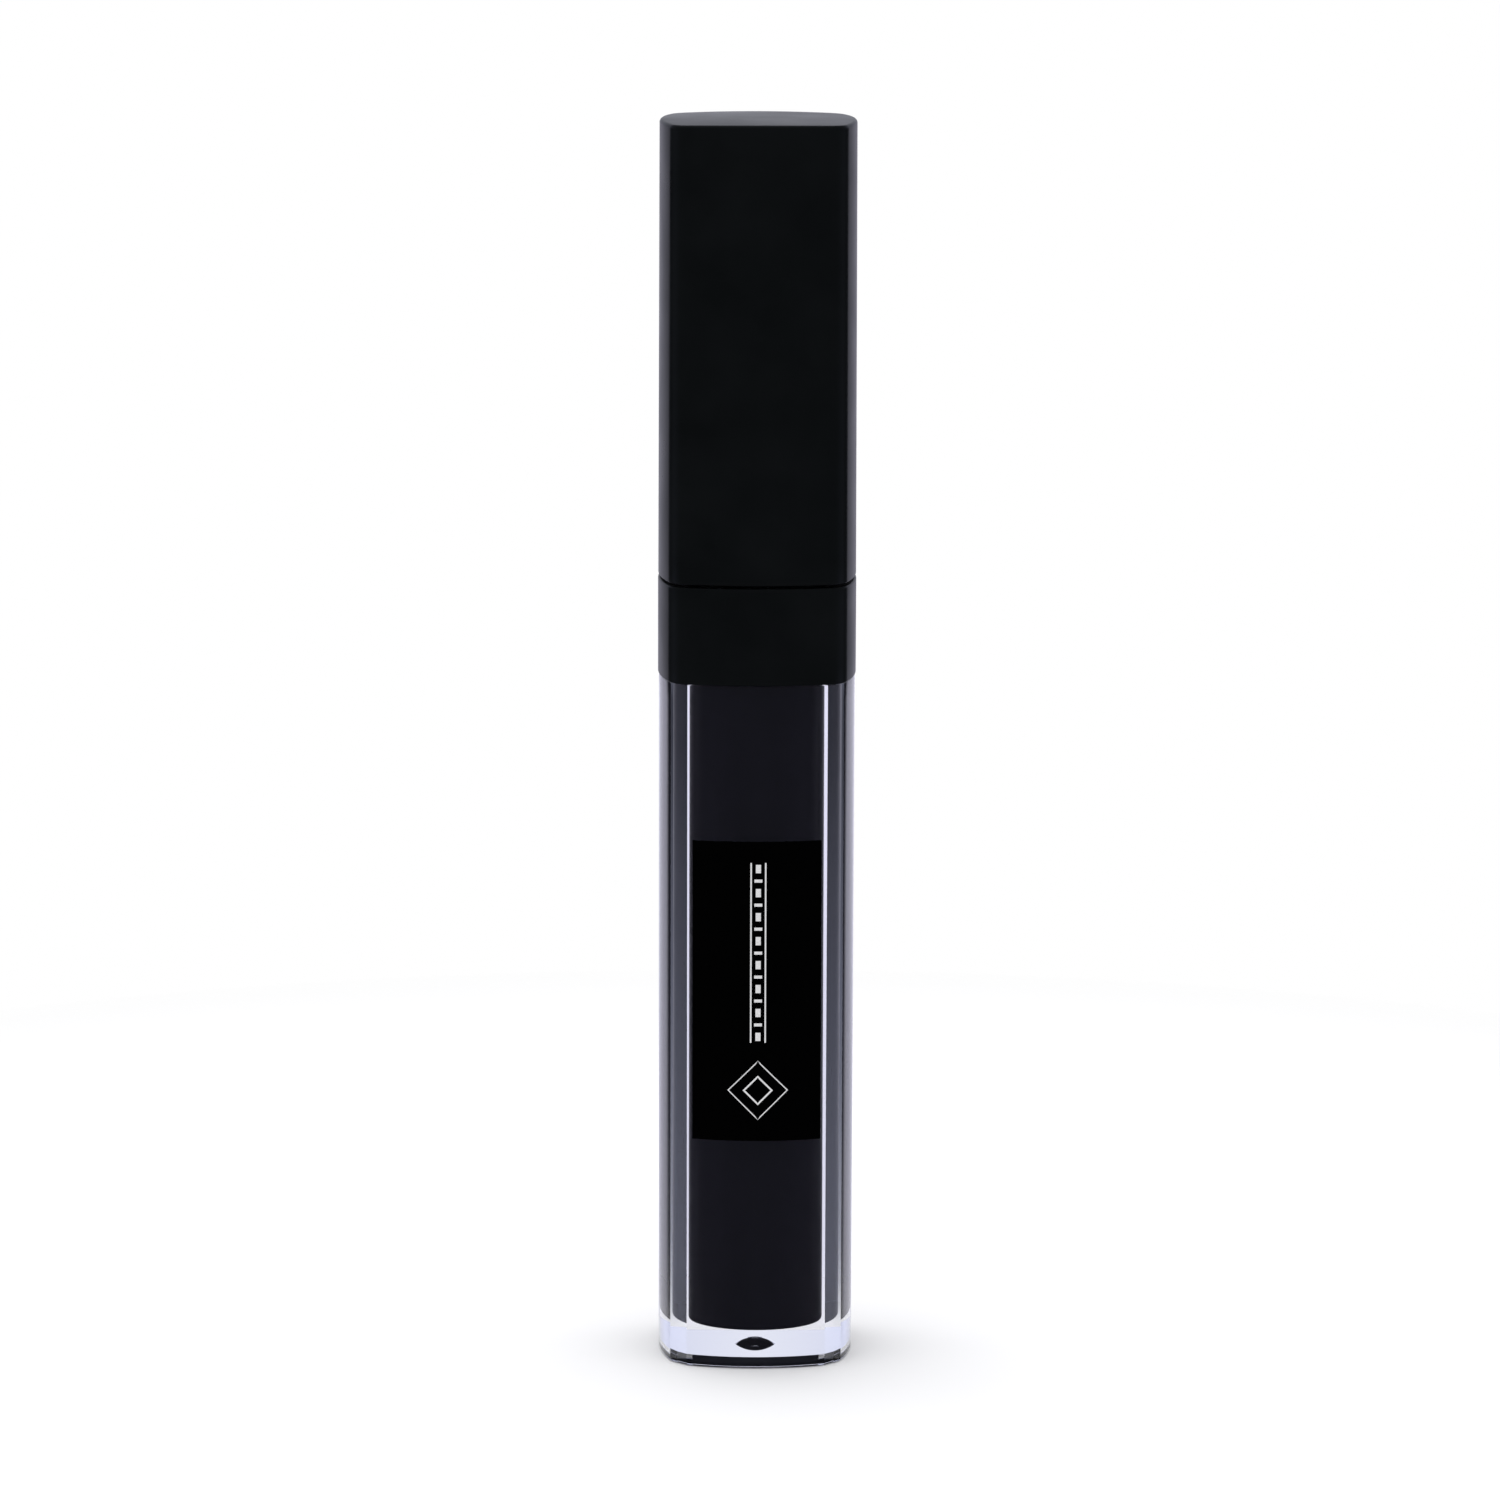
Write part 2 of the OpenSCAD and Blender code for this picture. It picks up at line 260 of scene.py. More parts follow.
def noise(tree, scale, detail=3.0, rough=0.5, stretch=(1, 1, 1)):
    """3-D noise in object space; scale is in bumps per metre."""
    coords = add_node(tree, "ShaderNodeTexCoord")
    fit = add_node(tree, "ShaderNodeMapping")
    fit.inputs["Scale"].default_value = stretch
    tree.links.new(coords.outputs["Object"], fit.inputs["Vector"])
    texture = add_node(tree, "ShaderNodeTexNoise")
    texture.inputs["Scale"].default_value = scale
    texture.inputs["Detail"].default_value = detail
    texture.inputs["Roughness"].default_value = rough
    tree.links.new(fit.outputs["Vector"], texture.inputs["Vector"])
    return texture.outputs["Fac"]


def remap(tree, source, low, high, to_low, to_high):
    """The source's low to high, spread over to_low to to_high and held there beyond."""
    node = add_node(tree, "ShaderNodeMapRange")
    node.inputs["From Min"].default_value = low
    node.inputs["From Max"].default_value = high
    node.inputs["To Min"].default_value = to_low
    node.inputs["To Max"].default_value = to_high
    tree.links.new(source, node.inputs["Value"])
    return node.outputs["Result"]


def ramp(tree, source, stops):
    """Colour ramp from (place, colour) stops."""
    node = add_node(tree, "ShaderNodeValToRGB")
    elements = node.color_ramp.elements
    while len(elements) < len(stops):
        elements.new(0.5)
    for element, (place, colour) in zip(elements, stops):
        element.position = place
        element.color = (*colour, 1)
    tree.links.new(source, node.inputs["Fac"])
    return node.outputs["Color"]


def math_node(tree, operation, first, second=None):
    """One step of arithmetic; second is a socket, a float or nothing."""
    node = add_node(tree, "ShaderNodeMath", operation=operation)
    tree.links.new(first, node.inputs[0])
    if isinstance(second, float):
        node.inputs[1].default_value = second
    elif second is not None:
        tree.links.new(second, node.inputs[1])
    return node.outputs["Value"]


def blend(tree, share, first, second):
    """First where share is 0 and second, a colour or a socket, where it is 1."""
    node = add_node(tree, "ShaderNodeMix", data_type="RGBA")
    tree.links.new(share, node.inputs[0])
    tree.links.new(first, node.inputs[6])
    if isinstance(second, tuple):
        node.inputs[7].default_value = (*second, 1)
    else:
        tree.links.new(second, node.inputs[7])
    return node.outputs[2]


def scaled(colour, value):
    """The colour made value times as bright."""
    return tuple(channel * value for channel in colour)


def paint(tree, shader, source, stops):
    """Base colour that follows the source through a colour ramp."""
    tree.links.new(ramp(tree, source, stops), shader.inputs["Base Color"])


def roughen(tree, shader, source, span, levels):
    """Roughness that goes between two levels as the source goes over its span."""
    tree.links.new(remap(tree, source, *span, *levels), shader.inputs["Roughness"])


def bump(tree, shader, source, depth):
    """Bump of the given depth in metres."""
    node = add_node(tree, "ShaderNodeBump")
    node.inputs["Strength"].default_value = 1
    node.inputs["Distance"].default_value = depth
    tree.links.new(source, node.inputs["Height"])
    tree.links.new(node.outputs["Normal"], shader.inputs["Normal"])


# ---- materials of the pieces ----


def clear_plastic():
    """Polished thick-walled clear plastic with a trace of flow unevenness."""
    material, tree, shader = new_material("clear_plastic")
    shader.inputs["Transmission Weight"].default_value = 1
    shader.inputs["IOR"].default_value = 1.57
    paint(tree, shader, noise(tree, 60), [(0.3, (0.965, 0.97, 0.99)), (0.7, (0.975, 0.98, 1.0))])
    roughen(tree, shader, noise(tree, 300), (0.35, 0.75), (0.0, 0.006))
    return material


def dark_gloss():
    """Almost black plum liquid that wets the wall of the bore."""
    material, tree, shader = new_material("dark_gloss")
    streaks = noise(tree, 260, 3, 0.55, (1, 1, 0.12))
    paint(tree, shader, streaks, [(0.3, (0.016, 0.013, 0.02)), (0.72, (0.021, 0.0172, 0.0255))])
    shader.inputs["Specular IOR Level"].default_value = 0.03
    roughen(tree, shader, streaks, (0.3, 0.7), (0.3, 0.45))
    return material


def soft_touch_black():
    """Soft-touch lacquer: almost black, dull head on, with a pale grazing shine and fine tooth."""
    material, tree, shader = new_material("soft_touch_black")
    cloud = noise(tree, 180)
    paint(tree, shader, cloud, [(0.3, (0.0034, 0.004, 0.0041)), (0.7, (0.0046, 0.0053, 0.0055))])
    shader.inputs["IOR"].default_value = 1.105
    shader.inputs["Specular Tint"].default_value = (0.68, 0.76, 1.0, 1)
    roughen(tree, shader, cloud, (0.3, 0.7), (0.27, 0.32))
    bump(tree, shader, noise(tree, 9000, 2, 0.6), 0.0015 * MM)
    return material


def printed_black():
    """Flat black ink with a faint screen grain."""
    material, tree, shader = new_material("printed_black")
    grain = noise(tree, 6000, 2)
    paint(tree, shader, grain, [(0.3, (0.0003, 0.0003, 0.0003)), (0.7, (0.0006, 0.0006, 0.0006))])
    shader.inputs["IOR"].default_value = 1.05
    roughen(tree, shader, grain, (0.3, 0.7), (0.5, 0.6))
    bump(tree, shader, grain, 0.001 * MM)
    return material


def printed_white():
    """White ink lines."""
    material, tree, shader = new_material("printed_white")
    grain = noise(tree, 9000, 2)
    paint(tree, shader, grain, [(0.3, (0.62, 0.62, 0.62)), (0.7, (0.8, 0.8, 0.8))])
    roughen(tree, shader, grain, (0.3, 0.7), (0.5, 0.6))
    return material


def moulded_black():
    """Plain black moulding, a little glossier than the cap."""
    material, tree, shader = new_material("moulded_black")
    cloud = noise(tree, 300)
    paint(tree, shader, cloud, [(0.3, (0.006, 0.006, 0.007)), (0.7, (0.01, 0.01, 0.011))])
    shader.inputs["IOR"].default_value = 1.4
    roughen(tree, shader, cloud, (0.3, 0.7), (0.22, 0.34))
    bump(tree, shader, noise(tree, 4000, 2), 0.001 * MM)
    return material


def wiper_plastic():
    """Milky soft plastic that lets some light through."""
    material, tree, shader = new_material("wiper_plastic")
    cloud = noise(tree, 400)
    paint(tree, shader, cloud, [(0.3, (0.72, 0.73, 0.71)), (0.7, (0.8, 0.81, 0.79))])
    shader.inputs["Transmission Weight"].default_value = 0.35
    shader.inputs["IOR"].default_value = 1.5
    roughen(tree, shader, cloud, (0.3, 0.7), (0.38, 0.5))
    return material


def wet_flock():
    """Short nylon flock soaked with gloss."""
    material, tree, shader = new_material("wet_flock")
    tuft = noise(tree, 5200, 3, 0.6)
    paint(tree, shader, tuft, [(0.35, (0.006, 0.0025, 0.006)), (0.65, (0.07, 0.032, 0.06))])
    roughen(tree, shader, tuft, (0.3, 0.7), (0.5, 0.25))
    shader.inputs["Sheen Weight"].default_value = 0.3
    shader.inputs["Sheen Roughness"].default_value = 0.4
    shader.inputs["Coat Weight"].default_value = 0.35
    shader.inputs["Coat Roughness"].default_value = 0.12
    bump(tree, shader, tuft, 0.14 * MM)
    return material


CLEAR = clear_plastic()
GLOSS = dark_gloss()
SOFT_BLACK = soft_touch_black()
INK_BLACK = printed_black()
INK_WHITE = printed_white()
MOULDED = moulded_black()
WIPER = wiper_plastic()
FLOCK = wet_flock()


def cover(obj, material):
    """Gives the object one material."""
    obj.data.materials.clear()
    obj.data.materials.append(material)


def place(obj, material, body, slot, *nodes):
    """Finish of a piece: its material, its body and the CAD nodes it stands for. The slot argument
    is not used.
    """
    cover(obj, material)
    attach(obj, body)
    if nodes:
        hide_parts(*nodes)


# ---- the bottle, with the thread and bead on its neck ----

THREAD_Z = collar_high.z + 2.4 * MM
THREAD_PITCH = 3 * MM
THREAD_TURNS = 1.25
THREAD_DEPTH = 0.45 * MM
THREAD_ROOT = 0.75 * MM
THREAD_FLAT = 0.25 * MM
THREAD_FADE = 0.1
BEAD_Z = collar_high.z + 0.35 * MM
BEAD_R = 0.3 * MM
NECK_RIM = 0.3 * MM
SPIGOT_INSET = 1.15 * MM
SPIGOT_GAP = 0.1 * MM
COLLAR_WEB = 1.4 * MM
BASE_ROUND = 0.35 * MM
FOOT_W = 1.2 * MM
RECESS_H = 0.85 * MM
GATE_R = 1.5 * MM
GATE_DEPTH = 0.6 * MM
GATE_BALL_R = (GATE_R**2 + GATE_DEPTH**2) / (2 * GATE_DEPTH)
PIP_R = 0.5 * MM
PIP_Z = RECESS_H + GATE_DEPTH - 0.25 * MM


def thread_height(angle, z):
    """Height of the thread ridge over the neck wall at a place on it."""
    best = 0.0
    for lap in (0, 1):
        turns = (angle % TAU) / TAU + lap
        if turns > THREAD_TURNS:
            continue
        fade = min(1, turns / THREAD_FADE, (THREAD_TURNS - turns) / THREAD_FADE)
        off = abs(z - THREAD_Z - THREAD_PITCH * turns)
        slope = (THREAD_ROOT - off) / (THREAD_ROOT - THREAD_FLAT)
        best = max(best, fade * THREAD_DEPTH * min(1, max(0, slope)))
    return best


def neck_ring(z):
    """The neck's wall at one height, with the thread and the bead where they stand."""
    bead = math.sqrt(max(0, BEAD_R * BEAD_R - (z - BEAD_Z) ** 2))
    ring = []
    for a in SECTION_TURN:
        r = NECK_R + max(thread_height(a, z), bead)
        ring.append((r * math.cos(a), r * math.sin(a), z))
    return ring


def base_rings():
    """Underside of the bottle: the gate pip, its round recess, the raised ceiling and the foot."""
    rings = [
        flat_ring(circle(PIP_R * 0.5), PIP_Z - 0.02 * MM),
        flat_ring(circle(PIP_R * 0.85), PIP_Z),
        flat_ring(circle(PIP_R), PIP_Z + 0.06 * MM),
    ]
    ball_from = PIP_R * 1.04
    for i in range(13):
        r = ball_from + (GATE_R - ball_from) * i / 12
        z = math.sqrt(GATE_BALL_R**2 - r * r) - (GATE_BALL_R - GATE_DEPTH)
        rings.append(flat_ring(circle(r), RECESS_H + z))
    inside = clear_section(FOOT_W)
    for share in (0.04, 0.3, 0.6, 0.85, 1):
        rings.append(flat_ring(between(circle(GATE_R), inside, share), RECESS_H))
    rings.append(flat_ring(inside, 0))
    return rings


def bottle_body():
    """One skin from the gate pip over the outside to the rim, and down the bore to its floor."""
    shoulder, top, floor = collar_low.z, bottle_high.z, gloss_low.z
    spigot_top = collar_high.z - COLLAR_WEB - SPIGOT_GAP
    rings = base_rings()
    rings += rim_rings(clear_section, 0, 0, BASE_ROUND, -1, 14)
    body_head = shoulder - EDGE_ROUND
    for i in range(1, 40):
        rings.append(flat_ring(clear_section(0), BASE_ROUND + (body_head - BASE_ROUND) * i / 40))
    rings += rim_rings(clear_section, 0, shoulder, EDGE_ROUND, 1, 6)
    rings.append(flat_ring(section(SPIGOT_INSET), shoulder))
    rings.append(flat_ring(section(SPIGOT_INSET), spigot_top))
    rings.append(neck_ring(spigot_top))
    neck_foot, neck_head = collar_high.z - 0.05 * MM, top - NECK_RIM
    for i in range(97):
        rings.append(neck_ring(neck_foot + (neck_head - neck_foot) * i / 96))
    rings.append(flat_ring(circle(NECK_R - NECK_RIM), top))
    rings.append(flat_ring(circle(BORE_R), top))
    for i in range(1, 12):
        rings.append(flat_ring(circle(BORE_R), top + (floor + BORE_ROUND - top) * i / 12))
    for i in range(13):
        a = i / 12 * TAU / 4
        r = BORE_R - BORE_ROUND * (1 - math.cos(a))
        rings.append(flat_ring(circle(r), floor + BORE_ROUND * (1 - math.sin(a))))
    for share in (0.66, 0.33):
        rings.append(flat_ring(circle((BORE_R - BORE_ROUND) * share), floor))
    # A sharp angle this low keeps the edges between the sides and the chamfers crisp
    obj = loft(
        "bottle_body", rings, low_tip=(0, 0, PIP_Z - 0.03 * MM), high_tip=(0, 0, floor), sharp=18
    )
    place(obj, CLEAR, "tube", "clear_plastic", "bottle")


# ---- the gloss ----

WELL_R = 2.3 * MM
WELL_UNDER_TIP = 0.3 * MM
MENISCUS = 0.8 * MM


def gloss_body():
    """The gloss, which wets the bore, dips between its edges and leaves a well for the wand."""
    floor, level = gloss_low.z - CONTACT, gloss_high.z
    well_floor = tip_low.z - WELL_UNDER_TIP
    wet, round_r = BORE_R + CONTACT, BORE_ROUND + CONTACT
    profile = [(wet * 0.25, floor), (wet * 0.5, floor)]
    for i in range(13):
        a = i / 12 * TAU / 4
        profile.append((wet - round_r * (1 - math.sin(a)), floor + round_r * (1 - math.cos(a))))
    profile += [(wet, floor + (level - floor) * i / 8) for i in range(1, 9)]
    for i in range(1, 8):
        share = i / 8
        dip = MENISCUS * math.sin(share * math.pi) ** 0.7
        profile.append((wet + (WELL_R - wet) * share, level - dip))
    profile += [
        (WELL_R, level),
        (WELL_R, well_floor + 0.6 * MM),
        (WELL_R * 0.9, well_floor + 0.1 * MM),
        (WELL_R * 0.5, well_floor),
    ]
    rings = [turned_ring(r, z, 128) for r, z in profile]
    obj = loft("gloss_body", rings, low_tip=(0, 0, floor), high_tip=(0, 0, well_floor), sharp=50)
    place(obj, GLOSS, "tube", "dark_gloss", "gloss_fill")


# ---- the collar and the cap ----

COLLAR_WALL = 1.1 * MM
COLLAR_HOLE_R = NECK_R + 0.05 * MM
CAP_INSET = 0.02 * MM
CAP_WALL = 1.2 * MM
CAP_ROOF = 1.4 * MM
CAP_DRAFT = 0.09 * MM
CAP_ROUND = 0.3 * MM
CAP_CHAMFER = 0.4 * MM
CAP_DOME = 0.2 * MM
DOME_R = (HALF_W**2 + CAP_DOME**2) / (2 * CAP_DOME)


def collar_ring():
    """Square ring with a web at its top that closes in on the neck."""
    low, high = collar_low.z, collar_high.z
    web = high - COLLAR_WEB
    hole = circle(COLLAR_HOLE_R)
    rings = rim_rings(section, 0, low, EDGE_ROUND, -1, 5)
    rings += [flat_ring(section(0), low + (high - low) * i / 6) for i in range(1, 6)]
    rings += rim_rings(section, 0, high, EDGE_ROUND, 1, 5)
    for share in (0.1, 0.5, 0.9):
        rings.append(flat_ring(between(section(EDGE_ROUND), hole, share), high))
    rings.append(flat_ring(hole, high))
    rings.append(flat_ring(hole, web))
    rings.append(flat_ring(section(COLLAR_WALL), web))
    rings.append(flat_ring(section(COLLAR_WALL), low))
    obj = loft("collar_ring", rings, closed=True)
    place(obj, SOFT_BLACK, "tube", "soft_touch_black", "collar")


def domed(ring):
    """The ring let down by the fall of the dome at each of its points."""
    return [(x, y, z - DOME_R + math.sqrt(DOME_R**2 - x * x - y * y)) for x, y, z in ring]


def cap_body():
    """The outer cap: a hollow inside, drafted crowned walls and a domed top."""
    low, high = cap_low.z, cap_high.z
    cavity = CAP_INSET + CAP_WALL
    rings = [
        flat_ring(section(cavity + CAP_CHAMFER), high - CAP_ROOF),
        flat_ring(section(cavity), high - CAP_ROOF - CAP_CHAMFER),
        flat_ring(section(cavity), (low + high) / 2),
        flat_ring(section(cavity), low),
    ]
    rings += rim_rings(section, CAP_INSET, low, EDGE_ROUND, -1, 5)
    foot, head = low + EDGE_ROUND, high - CAP_ROUND - 2 * CAP_DOME
    for i in range(1, 25):
        share = i / 24
        wall = section(CAP_INSET + CAP_DRAFT * share)
        rings.append(flat_ring(wall, foot + (head - foot) * share))
    top_inset = CAP_INSET + CAP_DRAFT
    rings += [domed(ring) for ring in rim_rings(section, top_inset, high, CAP_ROUND, 1)]
    edge, middle = section(top_inset + CAP_ROUND), circle(0.1 * MM)
    rings += [domed(flat_ring(between(edge, middle, i / 16), high)) for i in range(1, 16)]
    obj = loft("cap_body", rings, low_tip=(0, 0, high - CAP_ROOF), high_tip=(0, 0, high))
    place(obj, SOFT_BLACK, "cap", "soft_touch_black", "cap_shell")


# ---- the label and the ornament on it ----

LABEL_R = CLEAR_CROWN_R + 0.03 * MM
# Half the thickness of the ornament's ink, which lies half in the panel's face
MARK_T = 0.015 * MM
MARK_LINE = 0.13 * MM
MARKS_X = 0.1 * MM
# Places up the label's height, as shares of it
RULES_FROM, RULES_TO = 0.33, 0.93
EMBLEM_AT = 0.17
RULE_GAP = 0.62 * MM
BARS = 15
# Half width and half height of every other bar
BROAD_BAR = (0.34 * MM, 0.13 * MM)
TALL_BAR = (0.22 * MM, 0.36 * MM)
# Half size and line width of the nested lozenges
LOZENGES = [(2.6 * MM, MARK_LINE), (1.3 * MM, MARK_LINE * 1.6)]
LOZENGE_STEPS = 8
LOZENGE_TIP_W = 0.01 * MM


def on_label(radius, a, z):
    """A place on the cylinder of the front wall's crown; a is 0 in the middle of the front."""
    return (radius * math.sin(a), CLEAR_CROWN_C - radius * math.cos(a), z)


def label_panel():
    """Printed panel, bedded a hair into the front wall so that no air shows behind it."""
    z_low, z_high = label_low.z, label_high.z
    across, along = 40, 60
    bm = bmesh.new()
    sheets = []
    for radius in (CLEAR_CROWN_R - CONTACT, LABEL_R):
        span = math.asin(label_high.x / radius)
        turns = [span * (2 * i / across - 1) for i in range(across + 1)]
        heights = [z_low + (z_high - z_low) * j / along for j in range(along + 1)]
        sheets.append([[bm.verts.new(on_label(radius, a, z)) for a in turns] for z in heights])
    skin_sheets(bm, *sheets)
    obj = link_mesh("label_panel", bm)
    place(obj, INK_BLACK, "tube", "printed_panel", "front_label")


def curved_strip(bm, rows):
    """Closed strip of ink that lies on the label; rows are (x from, x to, z) from its foot up."""
    across = 6
    sheets = []
    for radius in (LABEL_R - MARK_T, LABEL_R + MARK_T):
        sheet = []
        for x_from, x_to, z in rows:
            places = [x_from + (x_to - x_from) * i / across for i in range(across + 1)]
            sheet.append([bm.verts.new(on_label(radius, math.asin(x / radius), z)) for x in places])
        sheets.append(sheet)
    skin_sheets(bm, *sheets)


def bar(bm, x, half_w, z_low, z_high):
    """Upright bar of ink."""
    curved_strip(bm, [(x - half_w, x + half_w, z) for z in (z_low, z_high)])


def lozenge(bm, x, z, half, line):
    """Outline of a lozenge, as four slanted strips."""
    for side in (-1, 1):
        for end in (-1, 1):
            rows = []
            for k in range(LOZENGE_STEPS + 1):
                share = k / LOZENGE_STEPS if end < 0 else 1 - k / LOZENGE_STEPS
                edges = (x + side * half * share, x + side * max(0.0, half * share - line))
                # The strip never narrows to nothing, so that it has no empty faces
                tip = LOZENGE_TIP_W if share == 0 else 0
                rows.append((min(edges), max(edges) + tip, z + end * half * (1 - share)))
            curved_strip(bm, rows)


def label_marks():
    """Plain white ornament: a pair of upright rules, bars between them and two lozenges."""
    bm = bmesh.new()
    middle = (label_low.x + label_high.x) / 2 + MARKS_X
    height = label_high.z - label_low.z
    rule_low = label_low.z + height * RULES_FROM
    rule_high = label_low.z + height * RULES_TO
    for side in (-1, 1):
        bar(bm, middle + side * RULE_GAP, MARK_LINE / 2, rule_low, rule_high)
    for i in range(BARS):
        z = rule_low + (rule_high - rule_low) * (i + 0.5) / BARS
        half_w, half_h = BROAD_BAR if i % 2 else TALL_BAR
        bar(bm, middle, half_w, z - half_h, z + half_h)
    for half, line in LOZENGES:
        lozenge(bm, middle, label_low.z + height * EMBLEM_AT, half, line)
    place(link_mesh("label_marks", bm), INK_WHITE, "tube", "printed_panel")


bottle_body()
gloss_body()
collar_ring()
cap_body()
label_panel()
label_marks()

cover(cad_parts["cap_liner"], MOULDED)
cover(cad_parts["wand_rod"], MOULDED)
cover(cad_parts["wiper"], WIPER)
cover(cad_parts["applicator_tip"], FLOCK)


# ---- stage: the floor ----

FLOOR_DROP = 0.02 * MM
FLOOR_FADE = 60 * MM
FLOOR_EDGE = 160 * MM
FOOTPRINT = 8.4 * MM
FOOTPRINT_BLUR = 0.5 * MM
# Painted shade: the floor's colour under the tube, seen by rays other than the camera's, standing
# in for its shadow
PAINTED_SHADE_UNDER_TUBE = (0.02, 0.02, 0.025)
# How much of the floor shows to other rays than the camera's, by distance in mm
FLOOR_SHOWN = [(9.6, 1), (16, 0.5), (24, 0.3), (41, 0.14), (90, 0.05), (160, 0)]


def floor_material():
    """Pale floor that is whole to the camera near the object and melts into the backdrop.

    To other rays it fades sooner, is missing in front of the object and has painted shade, a
    dark patch, under it, so that the clear body shows the bright screen and not the floor."""
    material, tree, shader = new_material("floor")
    pale = ramp(tree, noise(tree, 3), [(0.3, (0.93, 0.93, 0.94)), (0.7, (0.94, 0.94, 0.95))])
    coords = add_node(tree, "ShaderNodeTexCoord")
    split = add_node(tree, "ShaderNodeSeparateXYZ")
    tree.links.new(coords.outputs["Object"], split.inputs["Vector"])
    seen = add_node(tree, "ShaderNodeLightPath")

    # Painted shade: the floor turns dark in the tube's footprint for every ray but the camera's
    wide = math_node(tree, "ABSOLUTE", split.outputs["X"])
    deep = math_node(tree, "ABSOLUTE", split.outputs["Y"])
    off = math_node(tree, "MAXIMUM", wide, deep)
    covered = remap(tree, off, FOOTPRINT - FOOTPRINT_BLUR, FOOTPRINT, 1, 0)
    painted_shade_share = math_node(tree, "SUBTRACT", covered, seen.outputs["Is Camera Ray"])
    tree.links.new(blend(tree, painted_shade_share, pale, PAINTED_SHADE_UNDER_TUBE), shader.inputs["Base Color"])
    shader.inputs["Roughness"].default_value = 0.9
    shader.inputs["Specular IOR Level"].default_value = 0

    reach = add_node(tree, "ShaderNodeVectorMath", operation="LENGTH")
    tree.links.new(coords.outputs["Object"], reach.inputs[0])
    to_camera = remap(tree, reach.outputs["Value"], FLOOR_FADE, FLOOR_EDGE, 1, 0)
    share = math_node(tree, "DIVIDE", reach.outputs["Value"], FLOOR_EDGE)
    by_reach = ramp(tree, share, [(r * MM / FLOOR_EDGE, (v, v, v)) for r, v in FLOOR_SHOWN])
    behind = remap(tree, split.outputs["Y"], -FOOTPRINT, FOOTPRINT_BLUR - FOOTPRINT, 0, 1)
    to_others = math_node(tree, "MULTIPLY", by_reach, behind)
    pick = add_node(tree, "ShaderNodeMix")
    tree.links.new(seen.outputs["Is Camera Ray"], pick.inputs[0])
    tree.links.new(to_others, pick.inputs[2])
    tree.links.new(to_camera, pick.inputs[3])
    tree.links.new(pick.outputs[0], shader.inputs["Alpha"])
    return material


def floor():
    """Round pale floor, a hair under the object's foot."""
    mesh = bpy.data.meshes.new("floor")
    bm = bmesh.new()
    bmesh.ops.create_circle(bm, cap_ends=True, radius=FLOOR_EDGE, segments=96)
    bm.to_mesh(mesh)
    bm.free()
    obj = bpy.data.objects.new("floor", mesh)
    bpy.context.scene.collection.objects.link(obj)
    obj.location.z = -FLOOR_DROP
    cover(obj, floor_material())


# ---- stage: the light ----

SCREEN_TINT = (0.87, 0.86, 1.03)
HIGH_TINT = (0.94, 0.96, 1.07)
SIDE_TINT = (0.78, 0.82, 1.08)
FILL = (0.99, 0.99, 1.0)
WHITE = (1, 1, 1)
SIDES_FROM = 35
# How bright the surroundings are at each angle away from straight behind, in degrees: round
# the horizon, over it, and well below it, where the table is near
AROUND = [
    (0, 1.04), (31.7, 1.02), (36.5, 0.03), (65, 0.03), (90, 0.5), (120, 0.08), (180, 0.14)
]
HIGH = [(0, 0.92), (60, 0.85), (90, 0.5), (120, 0.2), (180, 0.08)]
NEAR = [
    (0, 0.92), (31.7, 0.9), (36.5, 0.12), (65, 0.12), (90, 1.9), (120, 0.08), (180, 0.14)
]
# The heights, as parts of a direction's length, over which one gives way to the next
NEAR_FROM = (-0.17, -0.25)
HIGH_FROM = (-0.04, 0.1)
OVERHEAD_FROM = (0.35, 0.8)
OVERHEAD = 0.25
SOFTBOX_AT = Vector((-0.12, 0.2, 0.9))
SOFTBOX_SIDE = 0.8
SOFTBOX_WATTS = 2.9


def surroundings(levels, tint):
    """Ramp stops for brightness at angles from straight behind; the sides are bluer."""
    return [(a / 180, scaled(tint if a < SIDES_FROM else SIDE_TINT, v)) for a, v in levels]


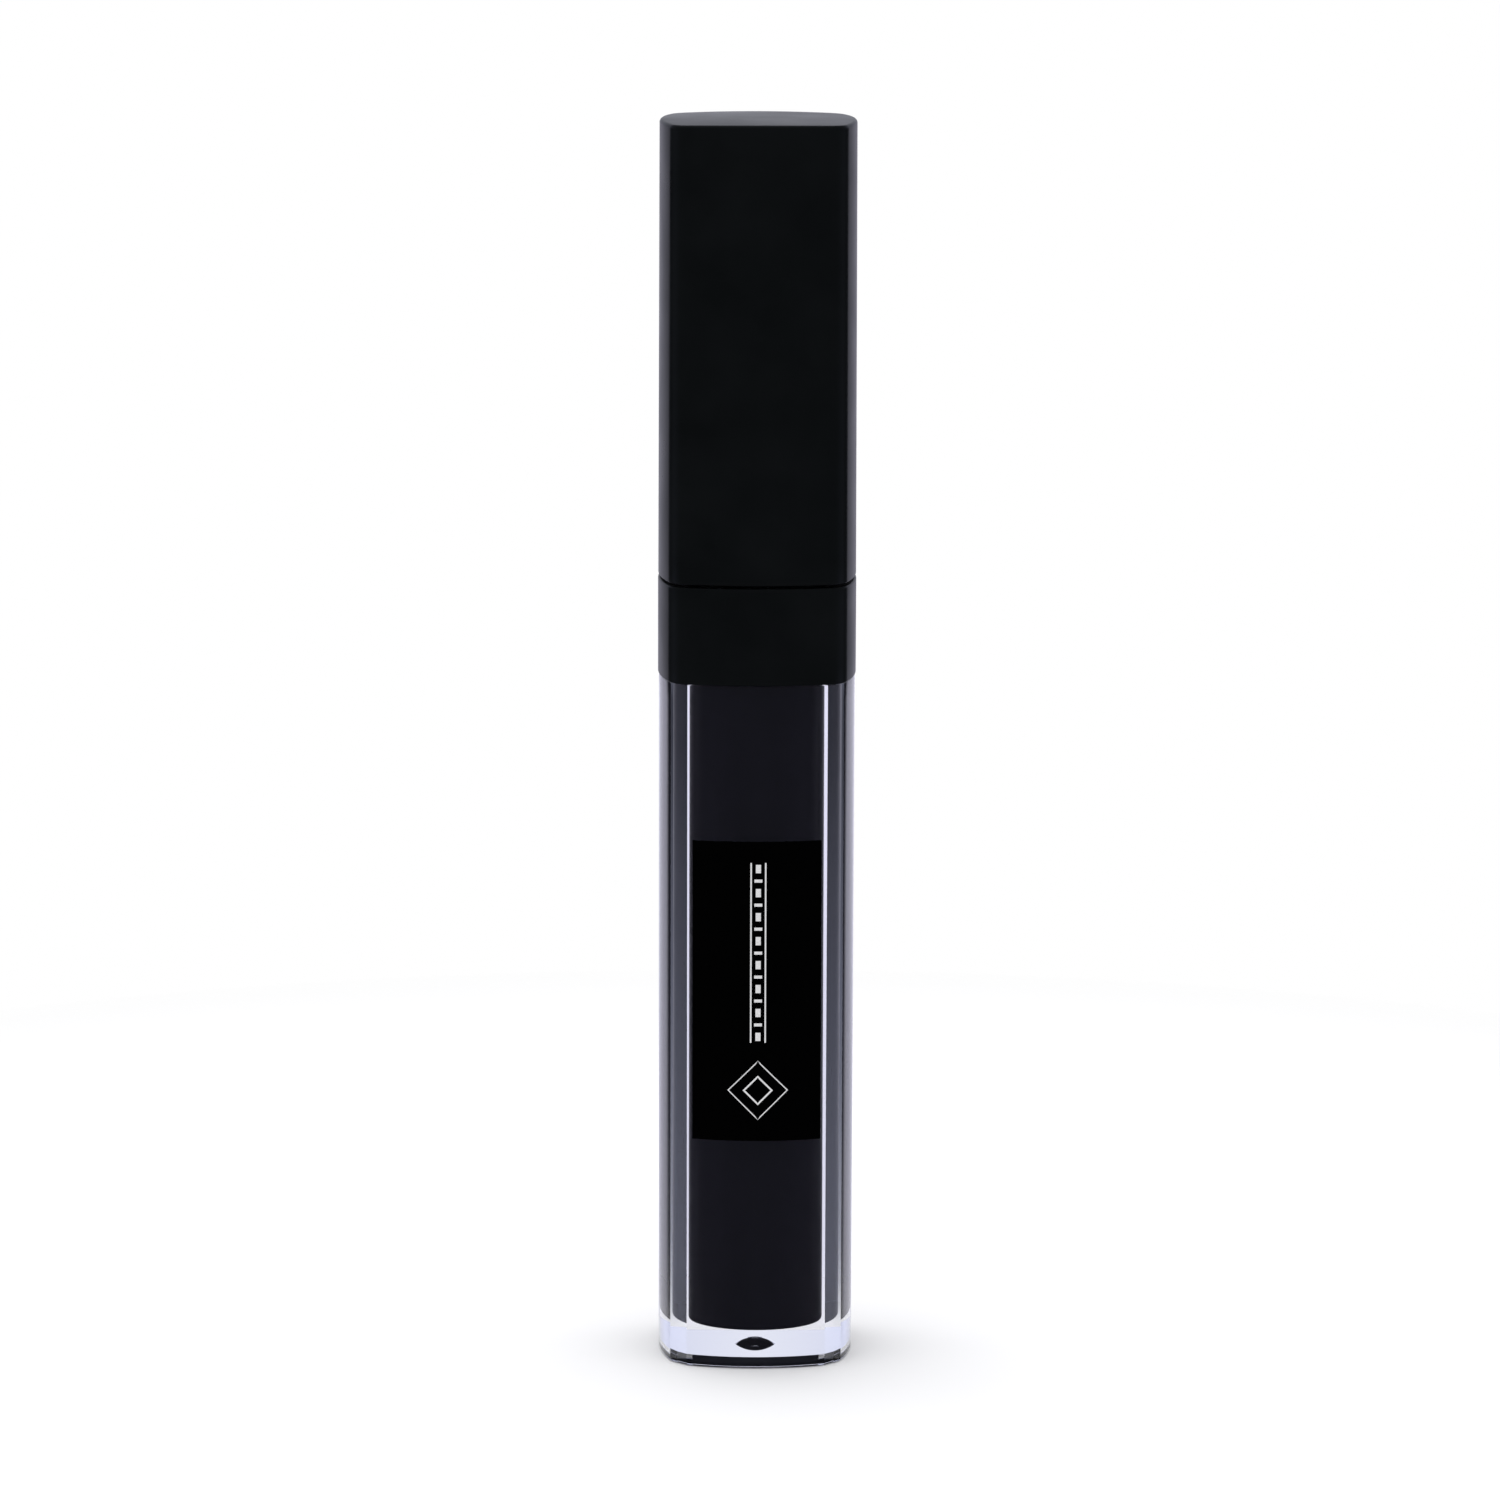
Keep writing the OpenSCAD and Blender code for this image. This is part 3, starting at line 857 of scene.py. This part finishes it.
def world_light():
    """The room: white to the camera and even to matt surfaces.

    Glossy and clear ones see a pale screen behind, dark strips beside it, greyer sides and a
    dim front."""
    world = bpy.data.worlds.new("studio")
    bpy.context.scene.world = world
    world.use_nodes = True
    tree = world.node_tree
    background = tree.nodes["Background"]
    coords = add_node(tree, "ShaderNodeTexCoord")
    split = add_node(tree, "ShaderNodeSeparateXYZ")
    tree.links.new(coords.outputs["Generated"], split.inputs["Vector"])
    angle = math_node(tree, "ARCTAN2", split.outputs["X"], split.outputs["Y"])
    share = math_node(tree, "DIVIDE", math_node(tree, "ABSOLUTE", angle), math.pi)
    level = ramp(tree, share, surroundings(AROUND, SCREEN_TINT))
    near = ramp(tree, share, surroundings(NEAR, SCREEN_TINT))
    high = ramp(tree, share, surroundings(HIGH, HIGH_TINT))
    room = blend(tree, remap(tree, split.outputs["Z"], *NEAR_FROM, 0, 1), level, near)
    room = blend(tree, remap(tree, split.outputs["Z"], *HIGH_FROM, 0, 1), room, high)
    lift = remap(tree, split.outputs["Z"], *OVERHEAD_FROM, 0, 1)
    room = blend(tree, lift, room, scaled(SCREEN_TINT, OVERHEAD))
    seen = add_node(tree, "ShaderNodeLightPath")
    room = blend(tree, seen.outputs["Is Diffuse Ray"], room, FILL)
    room = blend(tree, seen.outputs["Is Camera Ray"], room, WHITE)
    tree.links.new(room, background.inputs["Color"])
    background.inputs["Strength"].default_value = 1.0


def top_softbox():
    """Large soft lamp over the object, a little behind it and to its left, aimed at its foot."""
    data = bpy.data.lights.new("top_softbox", "AREA")
    data.shape = "RECTANGLE"
    data.size = data.size_y = SOFTBOX_SIDE
    data.energy = SOFTBOX_WATTS
    obj = bpy.data.objects.new("top_softbox", data)
    bpy.context.scene.collection.objects.link(obj)
    obj.location = SOFTBOX_AT
    obj.rotation_euler = (-SOFTBOX_AT).to_track_quat("-Z", "Y").to_euler()


# ---- stage: the camera ----

CAMERA_DISTANCE = 0.55512
CAMERA_PITCH = math.radians(9.911)
CAMERA_YAW = math.radians(0.554)
CAMERA_ROLL = math.radians(-0.171)
CAMERA_LENS = 154.56
AIM_X = -0.568 * MM
AIM_Z = 52.762 * MM


def camera():
    """Camera in front of the object, looking slightly down on it, close to its mid height."""
    data = bpy.data.cameras.new("camera")
    data.lens = CAMERA_LENS
    data.sensor_width = 36
    data.clip_start = 0.01
    obj = bpy.data.objects.new("camera", data)
    bpy.context.scene.collection.objects.link(obj)
    turn = Matrix.Rotation(-CAMERA_YAW, 3, "Z")
    cos_p, sin_p = math.cos(CAMERA_PITCH), math.sin(CAMERA_PITCH)
    right, up, back = Vector((1, 0, 0)), Vector((0, sin_p, cos_p)), Vector((0, -cos_p, sin_p))
    cos_r, sin_r = math.cos(CAMERA_ROLL), math.sin(CAMERA_ROLL)
    axes = (right * cos_r - up * sin_r, right * sin_r + up * cos_r, back)
    pose = Matrix([turn @ axis for axis in axes]).transposed().to_4x4()
    pose.translation = turn @ (back * CAMERA_DISTANCE + Vector((AIM_X, 0, AIM_Z)))
    obj.matrix_world = pose
    bpy.context.scene.camera = obj


floor()
world_light()
top_softbox()
camera()
bpy.context.scene.view_settings.view_transform = "Standard"
